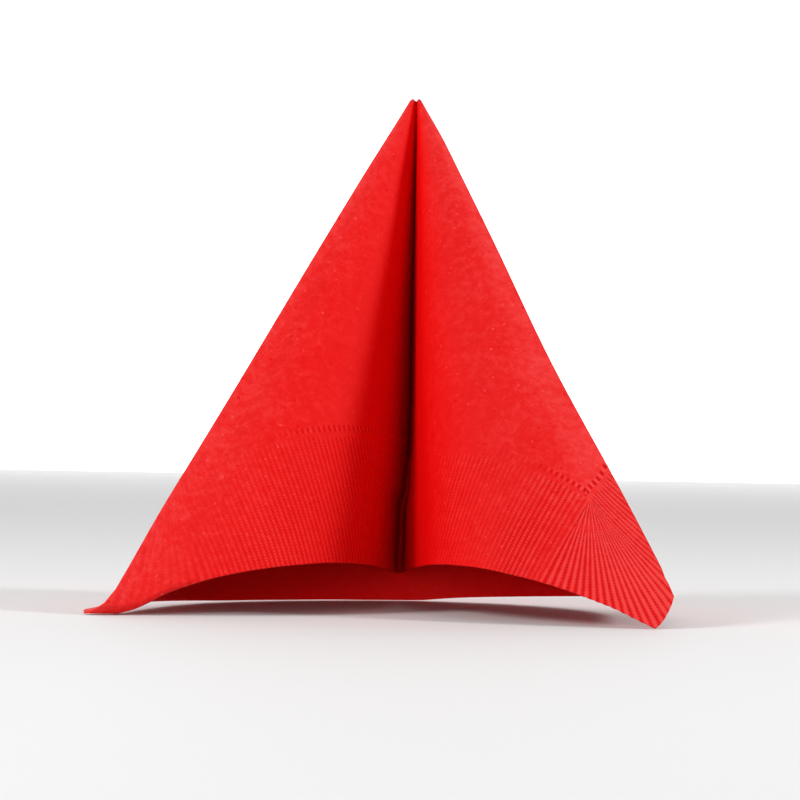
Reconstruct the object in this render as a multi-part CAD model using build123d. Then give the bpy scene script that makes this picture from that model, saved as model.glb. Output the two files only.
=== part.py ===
from build123d import *
import math
import os

# Paper napkin: one square sheet, folded in half, both upper corners folded
# back, creased down the middle and stood up as a hollow pyramid.
# Millimetres, +Z up, the valley crease faces -Y.

# ---- driving dimensions -------------------------------------------------
SHEET_SIDE = 330.0        # the flat square, edge to edge
FRONT_DROP = 160.0        # apex to the front layer's lower edge, down the valley
INNER_DROP = 168.0        # apex to the second layer's lower edge, down its crease
FLAP_DROP = 165.0         # apex to the side edge, down the rear seam
THICK = 0.30              # plies pressed together
TOP_BELOW_APEX = 1.5      # the sheet's point is pinched open this far below the apex
BASE_TRIM = 0.12          # lower edges pressed flat on the table

# The point all the folds run to.
APEX = (-3.15, 6.96, 168.23)

# Lower edge of the front layer, from the deep valley crease out to the corner
# fold: the walls of the pleat run forward, then open into the two wings.
FRONT_LEFT = [
    (-5.9, -6.6, 9.4), (-6.9, -7.5, 9.4), (-7.3, -9.5, 9.5), (-7.5, -17.0, 9.9), (-8.0, -27.7, 10.7), (-9.0, -36.8, 11.4),
    (-10.4, -47.0, 12.3), (-12.3, -56.2, 13.2), (-15.0, -65.8, 14.1), (-17.3, -71.7, 14.6),
    (-20.6, -78.2, 15.1), (-24.5, -83.9, 15.4), (-28.9, -88.7, 15.5), (-34.2, -93.4, 15.2),
    (-39.5, -97.4, 14.8), (-45.5, -101.0, 14.1), (-51.6, -104.2, 13.1), (-57.2, -106.5, 12.0),
    (-63.0, -108.4, 10.6), (-68.9, -109.8, 8.9), (-74.9, -110.6, 6.6), (-80.4, -111.3, 3.6),
    (-86.0, -112.8, 1.5), (-91.9, -114.9, 1.4)]
FRONT_RIGHT = [
    (-5.9, -6.6, 9.4), (-4.9, -7.5, 9.4), (-4.6, -9.5, 9.5), (-4.5, -16.9, 9.9), (-4.1, -27.8, 10.6), (-3.7, -37.6, 11.5),
    (-2.8, -47.0, 12.4), (-1.6, -57.6, 13.2), (-0.1, -69.3, 14.1), (0.9, -75.6, 14.7),
    (2.5, -83.2, 15.3), (4.4, -89.0, 15.7), (7.4, -94.9, 16.0), (10.9, -100.1, 16.0),
    (15.6, -105.5, 15.8), (20.5, -110.1, 15.2), (25.4, -113.8, 14.3), (30.9, -117.4, 13.2),
    (36.8, -120.8, 11.7), (43.1, -124.0, 9.8), (49.6, -126.7, 7.6), (54.9, -128.5, 5.6),
    (61.6, -130.7, 2.5), (67.0, -132.2, 0.0)]
# The right-hand corner of the sheet stands clear of the fold.
CORNER_FOLD = (73.3, -123.8, 8.6)
# Lower edge of the second layer, corner fold to middle crease: the rear wall.
INNER_LEFT = [
    (-90.6, -112.4, 0.2), (-89.6, -108.6, 0.0), (-88.9, -102.7, 0.6), (-88.0, -93.3, 1.4),
    (-87.2, -86.9, 1.7), (-86.0, -80.9, 1.9), (-83.7, -72.5, 1.9), (-80.0, -60.5, 1.6),
    (-75.0, -48.5, 1.2), (-68.5, -38.0, 0.8), (-60.5, -28.8, 0.5), (-51.0, -20.5, 0.4),
    (-41.0, -13.8, 0.3), (-31.0, -8.6, 0.3), (-20.0, -4.3, 0.2), (-10.0, -1.7, 0.1),
    (0.0, 0.0, 0.0)]
INNER_RIGHT = [
    (71.6, -120.6, 8.0), (72.0, -110.0, 7.7), (71.8, -98.0, 7.3), (71.0, -84.0, 6.8),
    (69.3, -70.0, 6.2), (66.0, -56.5, 5.5), (61.0, -43.5, 4.8), (54.0, -31.5, 4.1),
    (45.5, -21.5, 3.4), (35.5, -13.0, 2.7), (24.0, -6.5, 2.0), (12.0, -2.0, 1.2),
    (0.0, 0.0, 0.0)]

SEAM_HALF = 2.1           # rear seam: folded edges stand this far off the middle, at the base
FLAP_GAP_TIP = 0.7        # second layer to its own flap, at the front corners
FLAP_GAP_MID = 3.0        # the same, halfway back

# The same edges just below the apex, where the layers are pinched together,
# in plan from the apex.
TOP_FRONT_LEFT = [(-0.05, -1.0), (-0.30, -1.2), (-0.38, -1.8), (-0.60, -2.4), (-1.05, -2.75), (-1.62, -2.85)]
TOP_FRONT_RIGHT = [(-0.05, -1.0), (0.20, -1.2), (0.28, -1.8), (0.45, -2.4), (0.80, -2.85), (1.20, -3.15)]
TOP_CORNER = (1.62, -2.85)
TOP_INNER_LEFT = [(-1.45, -2.25), (-1.42, -1.5), (-1.05, -0.75), (-0.5, -0.4), (0.0, -0.3)]
TOP_INNER_RIGHT = [(1.35, -2.25), (1.32, -1.5), (1.0, -0.75), (0.5, -0.4), (0.0, -0.3)]
TOP_GAP = 0.46            # layer to layer
TOP_SEAM_HALF = 0.6

N_PANEL = 40              # points carried through each long curve
N_BEND = 8                # points carried through each fold
N_LIP = 6                 # points along the sheet's free corner


def dist(a, b):
    return math.sqrt(sum((p - q) ** 2 for p, q in zip(a, b)))


def smooth(nodes, n):
    """Natural cubic through the nodes, n + 1 points."""
    d = [0.0]
    for a, b in zip(nodes, nodes[1:]):
        d.append(d[-1] + dist(a, b) ** 0.9)
    m = len(nodes)
    cols = []
    for k in range(len(nodes[0])):
        y = [p[k] for p in nodes]
        h = [d[i + 1] - d[i] for i in range(m - 1)]
        al, l, mu, z = [0] * m, [1] * m, [0] * m, [0] * m
        b, c, e = [0] * m, [0] * m, [0] * m
        for i in range(1, m - 1):
            al[i] = 3 * (y[i + 1] - y[i]) / h[i] - 3 * (y[i] - y[i - 1]) / h[i - 1]
            l[i] = 2 * (d[i + 1] - d[i - 1]) - h[i - 1] * mu[i - 1]
            mu[i] = h[i] / l[i]
            z[i] = (al[i] - h[i - 1] * z[i - 1]) / l[i]
        for j in range(m - 2, -1, -1):
            c[j] = z[j] - mu[j] * c[j + 1]
            b[j] = (y[j + 1] - y[j]) / h[j] - h[j] * (c[j + 1] + 2 * c[j]) / 3
            e[j] = (c[j + 1] - c[j]) / (3 * h[j])
        cols.append((y, b, c, e))
    out, j = [], 0
    for q in range(n + 1):
        t = d[-1] * q / n
        while j < m - 2 and t > d[j + 1]:
            j += 1
        x = t - d[j]
        out.append(tuple(y[j] + b[j] * x + c[j] * x * x + e[j] * x ** 3
                         for y, b, c, e in cols))
    return out


def even(poly, n):
    """n + 1 points at equal steps along a polyline."""
    d = [0.0]
    for a, b in zip(poly, poly[1:]):
        d.append(d[-1] + dist(a, b))
    out, j = [], 0
    for q in range(n + 1):
        t = d[-1] * q / n
        while j < len(d) - 2 and t > d[j + 1]:
            j += 1
        w = (t - d[j]) / (d[j + 1] - d[j])
        out.append(tuple(a + (b - a) * w for a, b in zip(poly[j], poly[j + 1])))
    return out


def shifted(poly, gap, side):
    """Plan offset of a curve, to the left (+1) or right (-1) of travel."""
    n = len(poly)
    out = []
    for i, p in enumerate(poly):
        a, b = poly[max(0, i - 2)], poly[min(n - 1, i + 2)]
        tx, ty = b[0] - a[0], b[1] - a[1]
        l = math.hypot(tx, ty)
        g = gap(i / (n - 1)) * side
        out.append((p[0] - ty / l * g, p[1] + tx / l * g, p[2]))
    return out


def bend(p, q, bulge, n):
    """Half-round fold from p to q that bulges along the plan direction given."""
    mid = [(a + b) / 2 for a, b in zip(p, q)]
    r = dist(p, q) / 2
    bl = math.hypot(*bulge)
    out = []
    for i in range(n + 1):
        a = math.pi * i / n
        c, s = math.cos(a), math.sin(a)
        out.append((mid[0] + (p[0] - mid[0]) * c + bulge[0] / bl * r * s,
                    mid[1] + (p[1] - mid[1]) * c + bulge[1] / bl * r * s,
                    mid[2] + (p[2] - mid[2]) * c))
    return out


def flap_curves(inner, side, seam, gap_1, gap_2):
    """The two flap layers follow the second layer from behind, short of the middle."""
    dense = [p for p in even(smooth(inner, 600), 600) if abs(p[0]) > seam]
    return (even(shifted(dense, gap_1, side), N_PANEL), even(shifted(dense, gap_2, side), N_PANEL))


def side_curves(front, corner, inner, side):
    """The lower edges of one side, from the valley round to the middle crease."""
    f = even(smooth(front, 600), N_PANEL)
    lip = even([front[-1], corner], N_LIP) if corner else None
    s = even(smooth(inner, 600), N_PANEL)            # corner fold -> middle crease

    def gap_1(t):
        return FLAP_GAP_TIP * (1 - t) + 1.15 * t + FLAP_GAP_MID * 0.6 * math.sin(math.pi * t) ** 2

    def gap_2(t):
        return gap_1(t) + 0.7 + 0.4 * t + 1.9 * math.sin(math.pi * t) ** 2

    sf, ff = flap_curves(inner, side, SEAM_HALF, gap_1, gap_2)
    # Heights of the flaps' edges: the sheet's side edge, straight when flat.
    ff[0] = (ff[0][0], ff[0][1], (corner or front[-1])[2] + 0.5)
    run = math.sqrt(dist(APEX, ff[0]) ** 2 - FLAP_DROP ** 2)
    out_f, out_s = [], []
    for i, (x, y, _) in enumerate(ff):
        t = 1 - i / N_PANEL                          # 1 at the corner, 0 at the seam
        r = math.hypot(FLAP_DROP, run * t)
        z = APEX[2] - math.sqrt(r * r - (x - APEX[0]) ** 2 - (y - APEX[1]) ** 2)
        out_f.append((x, y, z))
        out_s.append((sf[i][0], sf[i][1], (z + 0.3) * (1 - t ** 8) + s[0][2] * t ** 8))
    return f, lip, out_f, out_s, s


def top_curves(front, corner, inner, side):
    """The pinched top of one side, in the same order as side_curves."""
    def up(p):
        return (APEX[0] + p[0], APEX[1] + p[1], APEX[2] - TOP_BELOW_APEX)
    f = even(smooth([up(p) for p in front], 600), N_PANEL)
    lip = even([up(front[-1]), up(corner)], N_LIP) if corner else None
    s = even(smooth([up(p) for p in inner], 600), N_PANEL)
    dense = [p for p in even(s, 600) if abs(p[0] - APEX[0]) > TOP_SEAM_HALF]
    sf = even(shifted(dense, lambda t: TOP_GAP, side), N_PANEL)
    ff = even(shifted(dense, lambda t: 2 * TOP_GAP, side), N_PANEL)
    return f, lip, ff, sf, s


def build_loop():
    """Matching lower and upper curves, panel by panel, once round the apex."""
    segs = []
    for side, low, top, out, out2 in (
            (1, (FRONT_LEFT, None, INNER_LEFT), (TOP_FRONT_LEFT, None, TOP_INNER_LEFT),
             (-0.65, -0.76), (-0.41, -0.91)),
            (-1, (FRONT_RIGHT, CORNER_FOLD, INNER_RIGHT), (TOP_FRONT_RIGHT, TOP_CORNER, TOP_INNER_RIGHT),
             (0.97, -0.25), (0.05, -1.0))):
        f, lip, ff, sf, s = side_curves(*low, side)
        tf, tlip, tff, tsf, ts = top_curves(*top, side)
        end, tend = (lip[-1], tlip[-1]) if lip else (f[-1], tf[-1])
        half = [(f, tf)] + ([(lip, tlip)] if lip else [])
        half += [(bend(end, ff[0], out, N_BEND), bend(tend, tff[0], out, N_BEND)),
                 (ff, tff),
                 (bend(ff[-1], sf[-1], (side, 0), N_BEND), bend(tff[-1], tsf[-1], (side, 0), N_BEND)),
                 (sf[::-1], tsf[::-1]),
                 (bend(sf[0], s[0], out2, N_BEND), bend(tsf[0], ts[0], out2, N_BEND)),
                 (s, ts)]
        if side > 0:
            segs += half
        else:
            segs += [(b[::-1], t[::-1]) for b, t in half[::-1]]
    return segs


def unit(v):
    l = math.sqrt(sum(c * c for c in v))
    return tuple(c / l for c in v)


def cross(a, b):
    return (a[1] * b[2] - a[2] * b[1], a[2] * b[0] - a[0] * b[2], a[0] * b[1] - a[1] * b[0])


def main():
    segs = build_loop()
    # one closed list of points, with the shared ends counted once
    low, high, marks = [], [], [0]
    for b, t in segs:
        low += b[:-1]
        high += t[:-1]
        marks.append(len(low))
    n = len(low)

    def normals(curve):
        out = []
        for i in range(n):
            p, a, c = curve[i], curve[i - 1], curve[(i + 1) % n]
            t1, t2 = unit(tuple(x - y for x, y in zip(p, a))), unit(tuple(x - y for x, y in zip(c, p)))
            rule = unit(tuple(x - y for x, y in zip(high[i], low[i])))
            n1, n2 = unit(cross(t1, rule)), unit(cross(t2, rule))
            m = unit(tuple(x + y for x, y in zip(n1, n2)))
            k = min(1.6, 1 / max(0.3, sum(x * y for x, y in zip(m, n1))))
            out.append(tuple(c2 * k for c2 in m))
        return out

    nl, nh = normals(low), normals(high)

    def skin(curve, norm, sgn):
        return [tuple(p[k] + norm[i][k] * sgn * THICK / 2 for k in range(3))
                for i, p in enumerate(curve)]

    lines = {}
    for name, curve, norm in (("low", low, nl), ("high", high, nh)):
        for sgn in (1, -1):
            pts = skin(curve, norm, sgn)
            edges = []
            for a, b in zip(marks, marks[1:]):
                run = [Vector(*pts[i % n]) for i in range(a, b + 1)]
                edges.append(Edge.make_spline(run))
            lines[name, sgn] = edges
    faces = []
    for i in range(len(marks) - 1):
        for sgn in (1, -1):
            faces.append(Face.make_surface_from_curves(lines["low", sgn][i], lines["high", sgn][i]))
        for name in ("low", "high"):
            faces.append(Face.make_surface_from_curves(lines[name, 1][i], lines[name, -1][i]))
    shell = Shell(faces)
    solid = Solid(shell)
    if solid.volume < 0:
        solid = Solid(solid.wrapped.Reversed())
    print("faces", len(faces), "valid", solid.is_valid, "volume", solid.volume)
    # press the lowest edges flat where they stand on the table
    zmin = solid.bounding_box().min.Z
    cut = zmin + BASE_TRIM
    keep = Pos(0, 0, cut + 150) * Box(600, 600, 300)
    part = solid & keep
    part = part.solids()[0] if hasattr(part, "solids") else part
    bb = part.bounding_box()
    mid = ((bb.min.X + bb.max.X) / 2, (bb.min.Y + bb.max.Y) / 2)
    part = Pos(-mid[0], -mid[1], -bb.min.Z) * part
    bb = part.bounding_box()
    print("solids", len(part.solids()), "valid", part.is_valid, "shift", -mid[0], -mid[1], -cut)
    print("box", bb.min, bb.max, "volume", part.volume)
    part.label = "napkin"
    os.makedirs("parts", exist_ok=True)
    export_step(part, "parts/napkin.step")


main()
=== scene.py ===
import math

import bmesh
import bpy
import numpy as np
from mathutils import Matrix, Vector


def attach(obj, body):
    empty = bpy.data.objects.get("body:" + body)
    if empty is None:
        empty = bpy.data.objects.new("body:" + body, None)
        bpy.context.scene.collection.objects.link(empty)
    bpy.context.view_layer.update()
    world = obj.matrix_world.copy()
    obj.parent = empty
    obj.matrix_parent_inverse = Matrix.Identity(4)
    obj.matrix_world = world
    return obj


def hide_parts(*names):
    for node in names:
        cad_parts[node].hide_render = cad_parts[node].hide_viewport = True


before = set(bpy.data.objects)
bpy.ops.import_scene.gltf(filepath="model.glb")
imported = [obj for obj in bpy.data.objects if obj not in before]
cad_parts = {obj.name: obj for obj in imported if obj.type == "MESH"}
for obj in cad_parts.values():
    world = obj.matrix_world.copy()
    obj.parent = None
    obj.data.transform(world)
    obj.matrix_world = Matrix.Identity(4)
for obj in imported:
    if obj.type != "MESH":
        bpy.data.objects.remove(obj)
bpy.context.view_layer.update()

# ---------------------------------------------------------------- the sheet
# Flat coordinates (mm): the folded point is the origin, u runs to the right
# along the sheet's edges and v runs down the front layer. The front layer is
# v > 0, the second layer v < 0, and the half fold between them is v = 0.
# Every straight line from the origin stays straight when the sheet is folded.
EDGE_F, EDGE_S, EDGE_U = 160.0, 168.0, 165.0
THICK = 0.30
SHIFT = np.array((9.0853, 62.3952, -0.022))
APEX = np.array((-3.15, 6.96, 168.23))

FRONT_LEFT = [
    (-5.9, -6.6, 9.4), (-6.9, -7.5, 9.4), (-7.3, -9.5, 9.5), (-7.5, -17.0, 9.9), (-8.0, -27.7, 10.7),
    (-9.0, -36.8, 11.4), (-10.4, -47.0, 12.3), (-12.3, -56.2, 13.2), (-15.0, -65.8, 14.1),
    (-17.3, -71.7, 14.6), (-20.6, -78.2, 15.1), (-24.5, -83.9, 15.4), (-28.9, -88.7, 15.5),
    (-34.2, -93.4, 15.2), (-39.5, -97.4, 14.8), (-45.5, -101.0, 14.1), (-51.6, -104.2, 13.1),
    (-57.2, -106.5, 12.0), (-63.0, -108.4, 10.6), (-68.9, -109.8, 8.9), (-74.9, -110.6, 6.6),
    (-80.4, -111.3, 3.6), (-86.0, -112.8, 1.5), (-91.9, -114.9, 1.4)]
FRONT_RIGHT = [
    (-5.9, -6.6, 9.4), (-4.9, -7.5, 9.4), (-4.6, -9.5, 9.5), (-4.5, -16.9, 9.9), (-4.1, -27.8, 10.6),
    (-3.7, -37.6, 11.5), (-2.8, -47.0, 12.4), (-1.6, -57.6, 13.2), (-0.1, -69.3, 14.1),
    (0.9, -75.6, 14.7), (2.5, -83.2, 15.3), (4.4, -89.0, 15.7), (7.4, -94.9, 16.0),
    (10.9, -100.1, 16.0), (15.6, -105.5, 15.8), (20.5, -110.1, 15.2), (25.4, -113.8, 14.3),
    (30.9, -117.4, 13.2), (36.8, -120.8, 11.7), (43.1, -124.0, 9.8), (49.6, -126.7, 7.6),
    (54.9, -128.5, 5.6), (61.6, -130.7, 2.5), (67.0, -132.2, 0.0)]
CORNER_FOLD = (73.3, -123.8, 8.6)
INNER_LEFT = [
    (-90.6, -112.4, 0.2), (-89.6, -108.6, 0.0), (-88.9, -102.7, 0.6), (-88.0, -93.3, 1.4),
    (-87.2, -86.9, 1.7), (-86.0, -80.9, 1.9), (-83.7, -72.5, 1.9), (-80.0, -60.5, 1.6),
    (-75.0, -48.5, 1.2), (-68.5, -38.0, 0.8), (-60.5, -28.8, 0.5), (-51.0, -20.5, 0.4),
    (-41.0, -13.8, 0.3), (-31.0, -8.6, 0.3), (-20.0, -4.3, 0.2), (-10.0, -1.7, 0.1), (0.0, 0.0, 0.0)]
INNER_RIGHT = [
    (71.6, -120.6, 8.0), (72.0, -110.0, 7.7), (71.8, -98.0, 7.3), (71.0, -84.0, 6.8),
    (69.3, -70.0, 6.2), (66.0, -56.5, 5.5), (61.0, -43.5, 4.8), (54.0, -31.5, 4.1),
    (45.5, -21.5, 3.4), (35.5, -13.0, 2.7), (24.0, -6.5, 2.0), (12.0, -2.0, 1.2), (0.0, 0.0, 0.0)]
FLAP_DROP = 165.0
SEAM_HALF = 1.5
GAP_TIP, GAP_MID = 0.6, 3.0

# The layers' ends just below the point, in plan from the apex: the outer
# layer closes over the tip as a thin bent ridge, the inner ones stop lower.
RIDGE_LEFT = [(-0.10, -0.55), (-0.45, -0.75), (-0.85, -1.35), (-1.25, -1.95), (-1.70, -2.35)]
RIDGE_RIGHT = [(0.10, -0.55), (0.42, -0.75), (0.78, -1.35), (1.15, -1.95), (1.60, -2.35)]
TIP_IN_LEFT = [(-1.62, -2.85), (-1.56, -2.3), (-1.18, -1.45), (-0.6, -0.88), (0.0, -0.66)]
TIP_IN_RIGHT = [(1.52, -2.85), (1.46, -2.3), (1.12, -1.45), (0.55, -0.88), (0.0, -0.66)]
TIP_GAP = 0.46

# Embossed border: ribs at right angles to the edge, fanned round the corners,
# with a row of short pressed dashes along their inner end.
RIB = 1.70
FAN_L, FAN_R = 23, 20
SIDE_R = 1.05                    # and lie closer together there
LEAN_R = math.radians(26.0)      # the right side's ribs lean down the sheet
BAND_U = 127.5
RIB_DEPTH = 0.095
DASH = 1.95
DASH_DEPTH = 0.19


def band_v(u):
    """Inner end of the ribs on the front layer: the fold is a little askew."""
    return 121.7 + 2.6 * np.tanh(u / 35.0) + 2.3 * np.clip((u - 90.0) / 37.0, 0, 1) ** 2


def cubic(nodes, n):
    """Natural cubic through the nodes, n + 1 points at even steps of length."""
    p = np.array(nodes, float)
    d = np.concatenate([[0], np.cumsum(np.linalg.norm(np.diff(p, axis=0), axis=1) ** 0.9)])
    h = np.diff(d)
    m = len(p)
    a = np.zeros((m, m))
    r = np.zeros((m, p.shape[1]))
    a[0, 0] = a[-1, -1] = 1
    for i in range(1, m - 1):
        a[i, i - 1], a[i, i], a[i, i + 1] = h[i - 1], 2 * (h[i - 1] + h[i]), h[i]
        r[i] = 3 * ((p[i + 1] - p[i]) / h[i] - (p[i] - p[i - 1]) / h[i - 1])
    c = np.linalg.solve(a, r)
    t = np.linspace(0, d[-1], 3001)
    j = np.clip(np.searchsorted(d, t, side="right") - 1, 0, m - 2)
    x = (t - d[j])[:, None]
    b = (p[1:] - p[:-1]) / h[:, None] - h[:, None] * (c[1:] + 2 * c[:-1]) / 3
    e = (c[1:] - c[:-1]) / (3 * h[:, None])
    return even(p[j] + b[j] * x + c[j] * x * x + e[j] * x ** 3, n)


def even(p, n):
    d = np.concatenate([[0], np.cumsum(np.linalg.norm(np.diff(p, axis=0), axis=1))])
    t = np.linspace(0, d[-1], n + 1)
    return np.stack([np.interp(t, d, p[:, k]) for k in range(p.shape[1])], 1)


def shifted(p, gap, side):
    """Plan offset of a curve: side 1 to the left of travel, -1 to the right."""
    t = np.gradient(p[:, :2], axis=0)
    t /= np.linalg.norm(t, axis=1)[:, None]
    q = p.copy()
    g = (gap * side)[:, None] if hasattr(gap, "__len__") else gap * side
    q[:, :2] += np.stack([-t[:, 1], t[:, 0]], 1) * g
    return q


def bend(p, q, bulge, n):
    """Half-round fold from p to q, bulging along the plan direction given."""
    p, q = np.array(p), np.array(q)
    mid, r = (p + q) / 2, np.linalg.norm(p - q) / 2
    o = np.array((*bulge, 0.0)) / math.hypot(*bulge)
    a = np.linspace(0, math.pi, n + 1)[:, None]
    return mid + (p - mid) * np.cos(a) + o * r * np.sin(a)


def joined(parts):
    return np.concatenate([x[:-1] for x in parts[:-1]] + [parts[-1]])


def half(side, front, corner, inner, ridge, tip_in, out, out2):
    """One side of the sheet, from the front valley to the rear crease: the
    lower and upper ends of the straight lines through the point."""
    NP, NB = 320, 28
    f = cubic(front, NP)
    end = np.array(corner if corner else front[-1], float)
    if corner:
        t = np.linspace(0, 1, 13)[:, None]
        lip = np.array(front[-1], float) * (1 - t) + end * t + 4 * t * (1 - t) * np.array((0.85, 0.0, -0.45))
    s = cubic(inner, NP)
    dense = cubic(inner, 900)
    dense = dense[np.abs(dense[:, 0]) > SEAM_HALF]
    t = np.linspace(0, 1, len(dense))
    w = np.sin(math.pi * t) ** 2
    g1 = GAP_TIP * (1 - t) + 1.15 * t + GAP_MID * 0.6 * w
    g2 = g1 + 0.6 + 0.5 * t + 1.9 * w
    sf, ff = even(shifted(dense, g1, side), NP), even(shifted(dense, g2, side), NP)
    ff[0, 2] = end[2] + 0.5
    run = math.sqrt(((APEX - ff[0]) ** 2).sum() - FLAP_DROP ** 2)
    t = np.linspace(1, 0, NP + 1)
    r2 = FLAP_DROP ** 2 + (run * t) ** 2
    z = APEX[2] - np.sqrt(r2 - ((ff[:, :2] - APEX[:2]) ** 2).sum(1))
    ff[:, 2] = z
    sf[:, 2] = (z + 0.3) * (1 - t ** 8) + s[0, 2] * t ** 8

    def up(p, drop):
        p = np.array(p, float)
        return np.column_stack([p, np.full(len(p), -drop)]) + APEX
    # the outer layer's ridge: two little tips with a notch between them
    rid = cubic(up(ridge, 0.0), NP)
    a = np.abs(rid[:, 0] - APEX[0]) / 1.65
    rid[:, 2] = APEX[2] + np.interp(a, [0.0, 0.22, 0.45, 0.66, 0.76, 1.0], [-1.62, -1.56, -1.2, -0.93, -0.98, -1.62])
    tf, tff = shifted(rid, 0.19, side)[:], shifted(rid, 0.19, -side)[::-1]
    ti = cubic(up(tip_in, 4.2), NP)
    keep = ti[np.abs(ti[:, 0] - APEX[0]) > 0.55]
    ts, tsf = ti, even(shifted(keep, TIP_GAP, side), NP)
    tip = tf[-1]
    low = [f] + ([lip] if corner else [])
    top = [tf] + ([np.repeat(tip[None], 13, 0)] if corner else [])
    low += [bend(end, ff[0], out, NB), ff, bend(ff[-1], sf[-1], (side, 0), NB),
            sf[::-1], bend(sf[0], s[0], out2, NB), s]
    top += [bend(tip, tff[0], (-side, -0.4), NB), tff, bend(tff[-1], tsf[-1], (side, 0), NB),
            tsf[::-1], bend(tsf[0], ts[0], out2, NB), ts]
    L, T = joined(low), joined(top)
    ray = L - APEX
    ray /= np.linalg.norm(ray, axis=1)[:, None]
    step = np.arccos(np.clip((ray[:-1] * ray[1:]).sum(1), -1, 1))
    psi = np.concatenate([[0], np.cumsum(step)])
    n0 = NP                                  # index of the front layer's end
    a0 = math.atan2(161.7 if not corner else EDGE_U, EDGE_F)
    marks = {"fold": (n0 + (12 if corner else 0), n0 + (12 if corner else 0) + NB)}
    k = marks["fold"][1] + NP
    marks["seam"] = (k, k + NB)
    total = psi[-1]
    psi = np.interp(psi, [0, psi[n0], psi[k + NB // 2], total], [0, a0, math.pi / 2, math.pi])
    k += NB + NP
    marks["inner"] = (k, k + NB)
    spans = [(psi[a], psi[b]) for a, b in marks.values()]
    print("side", side, "total angle", round(math.degrees(total), 2),
          "folds", [(round(math.degrees(a), 2), round(math.degrees(b), 2)) for a, b in spans])
    return psi, L, T, spans


HALF_L = half(1, FRONT_LEFT, None, INNER_LEFT, RIDGE_LEFT, TIP_IN_LEFT, (-0.65, -0.76), (-0.41, -0.91))
HALF_R = half(-1, FRONT_RIGHT, CORNER_FOLD, INNER_RIGHT, RIDGE_RIGHT, TIP_IN_RIGHT, (0.97, -0.25), (0.05, -1.0))


def edge_r(psi):
    """Distance from the point to the sheet's edge, at flat angle psi."""
    c, s = np.cos(psi), np.abs(np.sin(psi))
    with np.errstate(divide="ignore"):
        rf = np.where(c > 1e-9, EDGE_F / np.maximum(c, 1e-9), 1e9)
        rs = np.where(c < -1e-9, EDGE_S / np.maximum(-c, 1e-9), 1e9)
        ru = np.where(s > 1e-9, EDGE_U / np.maximum(s, 1e-9), 1e9)
    return np.minimum(np.minimum(rf, rs), ru)


def smoothstep(x):
    x = np.clip(x, 0, 1)
    return x * x * (3 - 2 * x)


BOW = cubic([(0, 0), (0.12, 2.5), (0.25, 3.4), (0.4, 4.6), (0.5, 6.0), (0.6, 7.8), (0.69, 8.6),
             (0.78, 6.2), (0.87, 1.6), (0.94, 0.1), (1.0, 0.0)], 200)


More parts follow.
